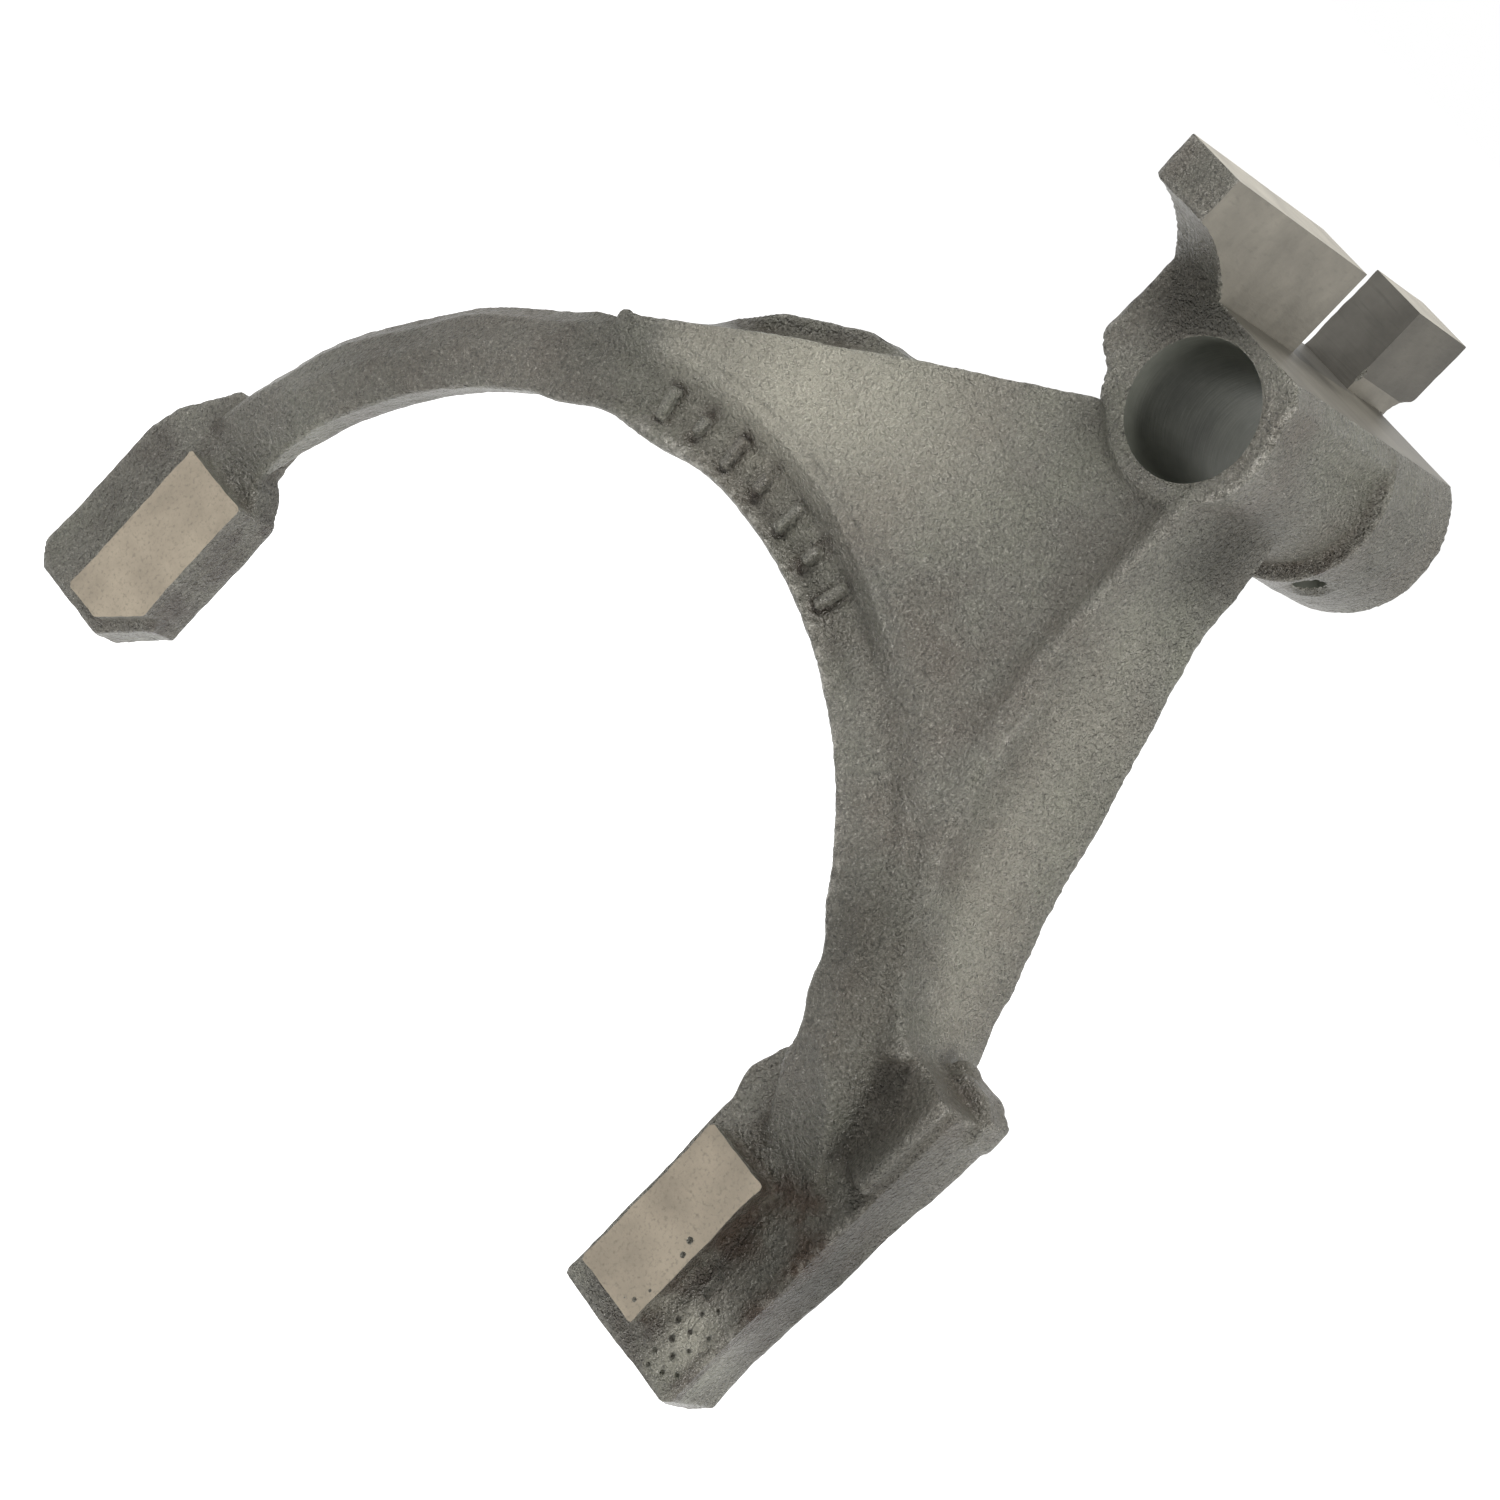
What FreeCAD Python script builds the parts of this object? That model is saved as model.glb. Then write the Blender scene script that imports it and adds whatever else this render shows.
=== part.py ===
import FreeCAD, Part
import math
import os
import Sketcher

# A cast shift fork in one piece. X runs to the right, Y back along the rail
# bore and Z up towards the selector lug. The origin is on the bore's axis, in
# the plane of the hub's front face. Millimetres.

SIZES = [
    ("bore_radius", 9.55, "rail bore, a running fit on a 19.05 rail"),
    ("hub_radius", 12.3, "outside of the front barrel"),
    ("hub_length", 50, "front face to back end of the hub"),
    ("collar_radius", 14.1, "thicker back stretch of the hub"),
    ("collar_start", 31, "where the collar begins behind the front face"),
    ("ledge_height", 11.6, "flat top of the hub and floor of the finger notch"),
    ("lug_side", 17.1, "bore axis to the lug's outer face"),
    ("lug_thickness", 9.2, "lug, side to side"),
    ("lug_top", 25.3, "bore axis to the top of both jaws"),
    ("lug_front", 16.7, "how far the front jaw stands ahead of the hub"),
    ("lug_back", 56, "front face of the hub to the back of the rear jaw"),
    ("jaw_floor", 18.7, "underside of the front jaw at its tip"),
    ("notch_front", 22.6, "front wall of the finger notch"),
    ("notch_width", 17.6, "finger notch along the bore"),
    ("yoke_side", 37.7, "yoke axis to the left of the bore axis"),
    ("yoke_drop", 116.4, "yoke axis below the bore axis"),
    ("yoke_radius", 64.5, "inside of the yoke"),
    ("band_width", 11.9, "yoke band, inside to outside"),
    ("band_front", 3.1, "yoke band ahead of the hub's front face"),
    ("band_back", 5.0, "back of the yoke band"),
    ("web_face", 1.0, "front of the web behind the hub's front face"),
    ("web_back", 6.8, "back of the web"),
    ("valley_depth", 2.8, "bottom of the valley between the band and the web"),
    ("valley_reach", 18, "how far the web takes to rise from the valley"),
    ("ridge_front", 0.2, "ridge of the flange ahead of the hub's front face"),
    ("flange_depth", 20.5, "back edge of the flange on the right side"),
    ("pad_front", 1.2, "machined pads ahead of the hub's front face"),
    ("pad_thickness", 9.0, "fork pads, front to back"),
    ("pad_top", 106.6, "top edge of both pads below the bore axis"),
    ("pad_bottom", 131.1, "bottom edge of both pads below the bore axis"),
    ("left_pad_outer", 110.4, "left pad, outer edge"),
    ("left_pad_inner", 97.7, "left pad, inner edge"),
    ("right_pad_inner", 22.3, "right pad, inner edge"),
    ("right_pad_outer", 33.2, "right pad, outer edge"),
    ("shelf_level", 2.5, "cast shelves beside the pads"),
    ("left_block_back", 8.5, "back of the left block"),
    ("right_block_back", 13.5, "back of the right block"),
    ("right_block_side", 43.7, "outer wall of the right block"),
    ("block_bottom", 137.1, "bottom of both blocks below the bore axis"),
    ("rear_lug_back", 17, "back of the lug behind the web"),
    ("pin_radius", 2.15, "lock pin hole in the collar"),
    ("pin_place", 36, "lock pin hole behind the front face"),
    ("pin_flat", 13.6, "spot face of the lock pin hole from the bore axis"),
    ("pin_angle", 41, "lock pin hole, degrees below the level to the right"),
    ("mark_height", 0.8, "raised foundry marks on the band"),
    ("mark_step", 5.4, "degrees between two foundry marks"),
]

doc = FreeCAD.newDocument("ShiftFork")
sheet = doc.addObject("Spreadsheet::Sheet", "Sizes")
for row, (name, value, note) in enumerate(SIZES, start=1):
    sheet.set("A%d" % row, note)
    sheet.set("B%d" % row, str(value))
    sheet.setAlias("B%d" % row, name)
doc.recompute()

body = doc.addObject("PartDesign::Body", "Fork")
body.Label = "shift_fork"
body.Placement = FreeCAD.Placement()


def number(value):
    """A size as a plain number, read from the sheet where it is named."""
    if isinstance(value, str):
        result = sheet.evalExpression(sheet_text(value))
        return float(getattr(result, "Value", result))
    return float(value)


def sheet_text(text):
    """The expression as it reads from inside the sheet itself."""
    return text.replace("Sizes.", "")


def origin_plane(role):
    for feature in body.Origin.OriginFeatures:
        if feature.Role == role:
            return feature
    raise RuntimeError("no plane " + role)


def new_sketch(name, role, offset, side="0", height="0"):
    """A sketch on one of the origin planes, moved along it and off it."""
    sketch = body.newObject("Sketcher::SketchObject", name)
    sketch.AttachmentSupport = [(origin_plane(role), "")]
    sketch.MapMode = "FlatFace"
    sketch.setExpression("AttachmentOffset.Base.x", side)
    sketch.setExpression("AttachmentOffset.Base.y", height)
    sketch.setExpression("AttachmentOffset.Base.z", offset)
    return sketch


def pin_down(sketch, kind, index, end, value):
    """One coordinate of a corner, measured from the sketch's origin."""
    size = number(value)
    if abs(size) < 1e-9:
        axis = -2 if kind == "DistanceX" else -1
        sketch.addConstraint(Sketcher.Constraint("PointOnObject", index, end, axis))
        return
    if size > 0:
        rule = Sketcher.Constraint(kind, -1, 1, index, end, size)
        text = str(value)
    else:
        rule = Sketcher.Constraint(kind, index, end, -1, 1, -size)
        text = "-(%s)" % value
    place = sketch.addConstraint(rule)
    if isinstance(value, str):
        sketch.setExpression("Constraints[%d]" % place, text)


def draw(sketch, corners):
    """A closed outline. A corner is (x, y), or (x, y, radius) where the run to
    the next corner is an arc: a positive radius turns left, a negative right."""
    flat = [FreeCAD.Vector(number(c[0]), number(c[1]), 0) for c in corners]
    ends = []
    for i, corner in enumerate(corners):
        here = flat[i]
        there = flat[(i + 1) % len(flat)]
        if len(corner) == 2:
            index = sketch.addGeometry(Part.LineSegment(here, there), False)
            ends.append((index, 1, 2))
            continue
        bend = number(corner[2])
        middle = (here + there) * 0.5
        along = there - here
        rise = math.sqrt(max(bend * bend - along.Length ** 2 / 4.0, 0.0))
        left = FreeCAD.Vector(-along.y, along.x, 0).normalize()
        centre = middle + left * (rise if bend > 0 else -rise)
        first = math.atan2(here.y - centre.y, here.x - centre.x)
        last = math.atan2(there.y - centre.y, there.x - centre.x)
        if bend < 0:
            first, last = last, first
        circle = Part.Circle(centre, FreeCAD.Vector(0, 0, 1), abs(bend))
        index = sketch.addGeometry(Part.ArcOfCircle(circle, first, last), False)
        ends.append((index, 1, 2) if bend > 0 else (index, 2, 1))
        place = sketch.addConstraint(Sketcher.Constraint("Radius", index, abs(bend)))
        if isinstance(corner[2], str):
            sketch.setExpression("Constraints[%d]" % place, "abs(%s)" % corner[2])
    for i, (index, start, end) in enumerate(ends):
        following = ends[(i + 1) % len(ends)]
        joint = Sketcher.Constraint("Coincident", index, end, following[0], following[1])
        sketch.addConstraint(joint)
        pin_down(sketch, "DistanceX", index, start, corners[i][0])
        pin_down(sketch, "DistanceY", index, start, corners[i][1])


def pad(name, role, offset, length, corners, backwards=True):
    """An outline pulled out of its plane. From the XZ plane that is towards
    the back of the fork."""
    sketch = new_sketch(name + "Outline", role, offset)
    draw(sketch, corners)
    feature = body.newObject("PartDesign::Pad", name)
    feature.Profile = sketch
    feature.setExpression("Length", length)
    feature.Reversed = backwards
    return feature


def disc(name, offset, length, radius, kind="PartDesign::Pad"):
    """A round about the bore's axis, from a given depth towards the back."""
    sketch = new_sketch(name + "Circle", "XZ_Plane", offset)
    circle = Part.Circle(FreeCAD.Vector(0, 0, 0), FreeCAD.Vector(0, 0, 1), number(radius))
    sketch.addGeometry(circle, False)
    sketch.addConstraint(Sketcher.Constraint("Coincident", 0, 3, -1, 1))
    place = sketch.addConstraint(Sketcher.Constraint("Radius", 0, number(radius)))
    sketch.setExpression("Constraints[%d]" % place, radius)
    feature = body.newObject(kind, name)
    feature.Profile = sketch
    feature.setExpression("Length", length)
    feature.Reversed = kind == "PartDesign::Pad"
    return feature


def spin(name, kind, corners, degrees, backwards):
    """A section turned about the yoke's axis. It is drawn in the level plane
    through that axis, with x measured from the axis and y along it."""
    sketch = new_sketch(name + "Section", "XY_Plane", "-Sizes.yoke_drop", "-Sizes.yoke_side")
    draw(sketch, corners)
    feature = body.newObject(kind, name)
    feature.Profile = sketch
    feature.ReferenceAxis = (sketch, ["V_Axis"])
    feature.Angle = degrees
    feature.Reversed = backwards
    return feature


# The web: a plate from the hub down to the yoke, with its upper left edge
# straight and its right edge on the flange's ridge. Its lower edge is an arc
# that lies under the band.
pad("Web", "XZ_Plane", "-Sizes.web_face", "Sizes.web_back - Sizes.web_face", [
    ("-Sizes.yoke_side + 62", "-Sizes.yoke_drop + 32"),
    (29, -81.5),
    (22.7, -70.9),
    (18.3, -62.9),
    (15.2, -55.4),
    (13.5, -48.5),
    (10.0, -34.8),
    (9.2, -22.0),
    (9.0, -6.0),
    (-8.0, -6.0),
    (-29.4, -18.8),
    (-50.4, -32.2),
    (-70.8, -46.4),
    ("-Sizes.yoke_side - 40", "-Sizes.yoke_drop + 57.2", -69.8),
])

# The web falls away in a shallow valley before it meets the band.
spin("Valley", "PartDesign::Groove", [
    ("Sizes.yoke_radius + 5", "Sizes.web_face - 1.5"),
    ("Sizes.yoke_radius + Sizes.band_width + Sizes.valley_reach", "Sizes.web_face - 1.5"),
    ("Sizes.yoke_radius + Sizes.band_width + Sizes.valley_reach", "Sizes.web_face"),
    ("Sizes.yoke_radius + Sizes.band_width - 1", "Sizes.valley_depth"),
    ("Sizes.yoke_radius + 5", "Sizes.valley_depth"),
], 180, True)

# The band of the yoke: its own section, turned from the right arm over the top
# to the left arm. The front is flat, with a long slope on the outside and
# rounded back corners.
spin("Band", "PartDesign::Revolution", [
    ("Sizes.yoke_radius + 0.6", "-Sizes.band_front"),
    ("Sizes.yoke_radius + Sizes.band_width - 6.2", "-Sizes.band_front"),
    ("Sizes.yoke_radius + Sizes.band_width - 2.2", "-Sizes.band_front + 1.9"),
    ("Sizes.yoke_radius + Sizes.band_width", "-Sizes.band_front + 4.9"),
    ("Sizes.yoke_radius + Sizes.band_width", "Sizes.band_back - 2", 2),
    ("Sizes.yoke_radius + Sizes.band_width - 2", "Sizes.band_back"),
    ("Sizes.yoke_radius + 2.9", "Sizes.band_back", 2),
    ("Sizes.yoke_radius + 0.9", "Sizes.band_back - 2"),
    ("Sizes.yoke_radius", "-Sizes.band_front + 0.6"),
], 180, True)

# Both arms thin down in front before they reach the pads.
slope = new_sketch("ArmSlopeOutline", "YZ_Plane", "0")
draw(slope, [
    ("-Sizes.band_front - 1", "-Sizes.pad_top + 18"),
    ("-Sizes.band_front", "-Sizes.pad_top + 18"),
    ("Sizes.shelf_level", "-Sizes.pad_top + 3"),
    ("Sizes.shelf_level", "-Sizes.block_bottom"),
    ("-Sizes.band_front - 1", "-Sizes.block_bottom"),
])
cut = body.newObject("PartDesign::Pocket", "ArmSlope")
cut.Profile = slope
cut.Type = "ThroughAll"
cut.Midplane = True

# The flange on the right side of the web: a narrow ridge in front, its full
# width where it meets the web, and a straight edge behind.
ridge = new_sketch("RidgeOutline", "XZ_Plane", "Sizes.ridge_front")
draw(ridge, [
    (9.0, -6.0), (7.6, -6.0), (7.9, -23.0), (8.6, -35.2), (12.1, -49.0), (16.3, -62.2),
    (21.4, -71.8), (27.4, -79.2), (31.0, -84.0), (35.0, -81.5), (28.4, -77.7),
    (22.7, -70.9), (17.6, -61.5), (13.5, -48.5), (10.0, -34.8), (9.3, -23.0),
])
root = new_sketch("FlangeRootOutline", "XZ_Plane", "-Sizes.web_face - 2.5")
draw(root, [
    (9.4, -6.0), (1.0, -6.0), (1.3, -23.0), (2.2, -36.0), (5.7, -51.0), (10.8, -66.0),
    (16.0, -75.5), (21.0, -83.0), (31.0, -85.5), (34.4, -81.4), (28.8, -77.6),
    (23.8, -70.9), (18.9, -61.5), (14.9, -48.5), (11.3, -34.8), (10.0, -23.0),
])
edge = new_sketch("FlangeEdgeOutline", "XZ_Plane", "-Sizes.flange_depth")
draw(edge, [
    (10.6, -6.0), (5.0, -6.0), (7.4, -24.0), (11.0, -37.0), (14.8, -50.5), (19.2, -65.0),
    (22.3, -73.5), (24.5, -81.0), (30.5, -85.5), (32.4, -80.5), (31.2, -77.0),
    (29.6, -71.0), (25.6, -61.5), (21.7, -48.5), (17.4, -35.0), (13.5, -23.0),
])
flange = body.newObject("PartDesign::AdditiveLoft", "Flange")
flange.Profile = ridge
flange.Sections = [root, edge]
flange.Ruled = True

# The two blocks at the ends of the arms, at shelf level.
pad("LeftBlock", "XZ_Plane", "-Sizes.shelf_level", "Sizes.left_block_back - Sizes.shelf_level", [
    (-113.6, -97.0),
    (-119.6, -105.4),
    (-121.2, -110.6),
    (-121.2, "-Sizes.block_bottom + 4.2"),
    (-118.6, "-Sizes.block_bottom + 1.4"),
    (-113.0, "-Sizes.block_bottom + 0.6"),
    (-105.0, "-Sizes.block_bottom + 1.2"),
    ("-Sizes.left_pad_inner - 0.2", "-Sizes.block_bottom + 8.4"),
    ("-Sizes.left_pad_inner - 0.2", "-Sizes.pad_top - 1"),
    (-100.4, -104.2),
    (-103.0, -102.4),
    (-103.6, -97.0),
])
pad("RightBlock", "XZ_Plane", "-Sizes.shelf_level", "Sizes.right_block_back - Sizes.shelf_level", [
    (19.7, -94.5),
    (19.9, "-Sizes.block_bottom + 1.2"),
    (21.0, "-Sizes.block_bottom"),
    ("Sizes.right_block_side - 3", "-Sizes.block_bottom"),
    ("Sizes.right_block_side - 0.4", "-Sizes.block_bottom + 2.6"),
    ("Sizes.right_block_side", "-Sizes.pad_top"),
    ("Sizes.right_block_side + 0.5", -81.8),
    (30.0, -81.0),
    (23.0, -89.0),
])

# A crest along the outer edge of the right block, above its shelf.
crest = new_sketch("CrestSection", "XY_Plane", "-81.8")
draw(crest, [
    ("Sizes.right_block_side - 7", "Sizes.shelf_level + 0.5"),
    ("Sizes.right_block_side - 1.6", "-Sizes.ridge_front"),
    ("Sizes.right_block_side - 0.2", "-Sizes.ridge_front"),
    ("Sizes.right_block_side - 0.2", "Sizes.shelf_level + 0.5"),
])
ridge_pad = body.newObject("PartDesign::Pad", "Crest")
ridge_pad.Profile = crest
ridge_pad.Length = 15
ridge_pad.Reversed = True

# Chipped flash at the upper back corner of the right block.
pad("Flash", "XZ_Plane", "-Sizes.right_block_back + 5", "5", [
    (35.0, -82.5),
    (37.6, -79.3),
    (41.8, -79.2),
    ("Sizes.right_block_side + 1.2", -80.9),
    ("Sizes.right_block_side + 1.0", -84.5),
    ("Sizes.right_block_side - 0.5", -88.0),
])

# The lower front edge of both blocks slopes back.
slant = new_sketch("BottomSlantOutline", "YZ_Plane", "0")
draw(slant, [
    ("Sizes.shelf_level - 1", "-Sizes.block_bottom + 2"),
    ("Sizes.shelf_level + 6", "-Sizes.block_bottom - 0.2"),
    ("Sizes.shelf_level - 1", "-Sizes.block_bottom - 0.2"),
])
bevel = body.newObject("PartDesign::Pocket", "BottomSlant")
bevel.Profile = slant
bevel.Type = "ThroughAll"
bevel.Midplane = True

# The pads that run in the collar's groove, machined flat.
pad("LeftPad", "XZ_Plane", "Sizes.pad_front", "Sizes.pad_thickness", [
    ("-Sizes.left_pad_outer", "-Sizes.pad_top"),
    ("-Sizes.left_pad_outer", "-Sizes.pad_bottom - 1.6"),
    ("-Sizes.left_pad_inner - 6", "-Sizes.pad_bottom - 1.6"),
    ("-Sizes.left_pad_inner", "-Sizes.pad_bottom + 4.4"),
    ("-Sizes.left_pad_inner", "-Sizes.pad_top"),
])
pad("RightPad", "XZ_Plane", "Sizes.pad_front", "Sizes.pad_thickness", [
    ("Sizes.right_pad_inner", "-Sizes.pad_top"),
    ("Sizes.right_pad_inner", "-Sizes.pad_bottom"),
    ("Sizes.right_pad_outer", "-Sizes.pad_bottom"),
    ("Sizes.right_pad_outer", "-Sizes.pad_top"),
])

# A short lug behind the web, standing past its upper left edge.
pad("RearLug", "XZ_Plane", "-4", "Sizes.rear_lug_back - 4", [
    (-70.0, -44.2),
    (-64.2, -37.4),
    (-59.4, -32.3),
    (-48.2, -25.6),
    (-40.2, -23.9),
    (-33.0, -26.5),
    (-44.0, -42.0),
    (-60.0, -51.0),
])

# The hub: a plain barrel, a thicker collar behind it, and a saddle that
# carries the lug at the level of its outer face.
disc("Barrel", "0", "Sizes.hub_length", "Sizes.hub_radius")
disc("Collar", "-Sizes.collar_start", "Sizes.hub_length - Sizes.collar_start",
     "Sizes.collar_radius")
top = new_sketch("CollarTopOutline", "XZ_Plane", "-Sizes.collar_start")
draw(top, [
    ("-Sizes.lug_side + 1", "Sizes.collar_radius - 2"),
    (0.0, "Sizes.collar_radius - 2"),
    (8.6, "Sizes.collar_radius - 2.7"),
    (14.5, 6.0),
    (14.5, "Sizes.collar_radius + 2"),
    ("-Sizes.lug_side + 1", "Sizes.collar_radius + 2"),
])
flats = body.newObject("PartDesign::Pocket", "CollarTop")
flats.Profile = top
flats.setExpression("Length", "Sizes.hub_length")
pad("Saddle", "XZ_Plane", "0", "Sizes.hub_length", [
    ("-Sizes.lug_side", "Sizes.ledge_height"),
    ("-Sizes.lug_side", -1.3),
    (-15.8, -2.8),
    (-13.0, -4.4),
    (-11.0, -7.5),
    ("-Sizes.hub_radius + 4", "-Sizes.hub_radius + 3.5"),
    (6.0, -6.0),
    (10.9, 5.0),
    (10.2, 9.4),
    (7.9, "Sizes.ledge_height"),
])
pad("Lug", "YZ_Plane", "-Sizes.lug_side", "Sizes.lug_thickness", [
    ("-Sizes.lug_front", "Sizes.jaw_floor"),
    ("-Sizes.lug_front", "Sizes.lug_top"),
    ("Sizes.notch_front", "Sizes.lug_top"),
    ("Sizes.notch_front", "Sizes.ledge_height"),
    ("Sizes.notch_front + Sizes.notch_width", "Sizes.ledge_height"),
    ("Sizes.notch_front + Sizes.notch_width", "Sizes.lug_top"),
    ("Sizes.lug_back", "Sizes.lug_top"),
    ("Sizes.lug_back", 15.2),
    ("Sizes.lug_back - 1.8", 14.4, 4.2),
    ("Sizes.hub_length + 2.6", 10.4),
    ("Sizes.hub_length", 8.0),
    ("Sizes.hub_length", 0),
    (0.2, 0),
    (0.2, "Sizes.ledge_height - 0.6", 28),
], False)

# The bore for the rail, right through.
disc("Bore", "5", "Sizes.hub_length + 10", "Sizes.bore_radius", "PartDesign::Pocket")

# The lock pin hole: a spot face on the collar and a hole through to the bore.
for name, radius, start, reach in [
    ("SpotFace", "Sizes.pin_radius + 1.3", "Sizes.pin_flat", "5"),
    ("PinHole", "Sizes.pin_radius", "Sizes.bore_radius - 3", "10"),
]:
    drill = body.newObject("PartDesign::SubtractiveCylinder", name)
    drill.setExpression("Radius", radius)
    drill.setExpression("Height", reach)
    drill.AttachmentSupport = [(origin_plane("XY_Plane"), "")]
    drill.MapMode = "FlatFace"
    side = "cos(Sizes.pin_angle * 1 deg)"
    drop = "sin(Sizes.pin_angle * 1 deg)"
    drill.AttachmentOffset = FreeCAD.Placement(
        FreeCAD.Vector(0, 0, 0),
        FreeCAD.Rotation(FreeCAD.Vector(0, 1, 0), 90 + number("Sizes.pin_angle")))
    drill.setExpression("AttachmentOffset.Base.x", "(%s) * %s" % (start, side))
    drill.setExpression("AttachmentOffset.Base.y", "Sizes.pin_place")
    drill.setExpression("AttachmentOffset.Base.z", "-(%s) * %s" % (start, drop))
    drill.setExpression("AttachmentOffset.Rotation.Angle", "90 + Sizes.pin_angle")

# Plain raised foundry marks along the band: long ones with short ones between.
for name, first, count, half in [("LongMark", 73.6, 4, 2.3), ("ShortMark", 79.0, 3, 1.2)]:
    mark = new_sketch(name + "Outline", "XZ_Plane", "Sizes.band_front - 0.3",
                      "-Sizes.yoke_side", "-Sizes.yoke_drop")
    mark.AttachmentOffset = FreeCAD.Placement(
        mark.AttachmentOffset.Base,
        FreeCAD.Rotation(FreeCAD.Vector(0, 0, 1), first - 90))
    draw(mark, [
        (-0.8, "Sizes.yoke_radius + Sizes.band_width / 2 - 2.2 - %s" % half),
        (0.8, "Sizes.yoke_radius + Sizes.band_width / 2 - 2.2 - %s" % half),
        (0.8, "Sizes.yoke_radius + Sizes.band_width / 2 - 2.2 + %s" % half),
        (-0.8, "Sizes.yoke_radius + Sizes.band_width / 2 - 2.2 + %s" % half),
    ])
    stamp = body.newObject("PartDesign::Pad", name)
    stamp.Profile = mark
    stamp.setExpression("Length", "Sizes.mark_height + 0.3")
    row = body.newObject("PartDesign::PolarPattern", name + "Row")
    row.Originals = [stamp]
    row.Axis = (mark, ["N_Axis"])
    row.Occurrences = int(count)
    row.setExpression("Angle", "Sizes.mark_step * 2 * %d" % (count - 1))
    body.Tip = row

doc.recompute()
for item in doc.Objects:
    if "Invalid" in item.State or "Error" in item.State:
        raise RuntimeError(item.Name + " did not build")
if body.Shape.isNull() or not body.Shape.isValid() or len(body.Shape.Solids) != 1:
    raise RuntimeError("the fork is not one sound solid")

os.makedirs("parts", exist_ok=True)
body.Shape.exportStep("parts/" + body.Label + ".step")
box = body.Shape.BoundBox
print("fork %.1f x %.1f x %.1f mm" % (box.XLength, box.YLength, box.ZLength))
print("volume %.1f cubic cm" % (body.Shape.Volume / 1000.0))
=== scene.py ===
import math

import bmesh
import bpy
import numpy as np
from mathutils import Matrix, Vector, noise


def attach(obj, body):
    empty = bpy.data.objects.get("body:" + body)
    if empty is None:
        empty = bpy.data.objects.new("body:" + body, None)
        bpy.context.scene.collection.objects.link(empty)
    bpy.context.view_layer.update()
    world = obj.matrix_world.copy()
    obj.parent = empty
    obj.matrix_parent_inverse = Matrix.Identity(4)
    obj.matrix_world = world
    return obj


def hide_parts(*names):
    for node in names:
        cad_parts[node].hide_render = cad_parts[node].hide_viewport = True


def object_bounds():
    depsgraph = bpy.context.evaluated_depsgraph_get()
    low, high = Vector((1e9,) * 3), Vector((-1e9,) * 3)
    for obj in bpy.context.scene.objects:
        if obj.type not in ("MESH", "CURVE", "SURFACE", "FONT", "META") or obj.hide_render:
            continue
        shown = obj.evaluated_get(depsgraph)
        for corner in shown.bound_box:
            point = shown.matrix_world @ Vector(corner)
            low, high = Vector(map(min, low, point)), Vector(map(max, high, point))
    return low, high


bl_info = {
    "name": "Cast shift fork",
    "version": (1, 0, 0),
    "blender": (4, 5, 0),
    "location": "3D View > Sidebar > Shift Fork",
    "description": "A sand-cast shift fork with machined pads, notch and rail bore",
    "category": "Object",
}

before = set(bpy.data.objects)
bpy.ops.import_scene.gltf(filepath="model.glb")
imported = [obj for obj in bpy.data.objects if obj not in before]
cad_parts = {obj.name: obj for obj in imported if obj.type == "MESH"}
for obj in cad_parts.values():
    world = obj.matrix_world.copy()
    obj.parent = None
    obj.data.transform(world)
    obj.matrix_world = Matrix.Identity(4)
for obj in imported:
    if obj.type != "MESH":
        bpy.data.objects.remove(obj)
CAD_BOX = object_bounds()

MM = 0.001

# Places of the machined surfaces, in millimetres, in the fork's own frame:
# X to the right, Y back along the bore, Z up.
BORE_RADIUS = 9.55
HUB_LENGTH = 50.0
LUG_X = (-17.1, -7.9)
LUG_BACK = 56.0
LUG_TOP = 25.3
LEDGE = 11.6
NOTCH = (22.6, 40.2)
PAD_FRONT = -1.2
LEFT_PAD = ((-110.4, -106.6), (-110.4, -132.7), (-103.7, -132.7), (-97.7, -126.7), (-97.7, -106.6))
RIGHT_PAD = ((22.3, -106.6), (22.3, -131.1), (33.2, -131.1), (33.2, -106.6))
JAW_SIDE = ((-16.5, 18.9), (-16.5, 25.6), (22.6, 25.6), (22.6, 12.0), (1.2, 12.0),
            (-2.4, 14.7), (-7.3, 17.1), (-12.0, 18.4))
BACK_JAW = (15.6, 25.5)
# The cutter's reach over each pad: left and right end, bottom and top.
LEFT_PAD_CUT = (-112, -96, -136, -105.5)
RIGHT_PAD_CUT = (20, 35.5, -136, -105.5)
# Small fillings of the casting: place and radius.
UPPER_NUB = (-70.3, -1.0, -47.9, 1.5)
BLOCK_CORNER = (36.4, 12.0, -81.0, 2.4)
# A long pore in the right block's shelf: its two ends and its radius.
SHELF_SLOT = ((36.3, 2.3, -118.6), (36.6, 2.3, -122.6))
SLOT_RADIUS = 0.62
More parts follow.
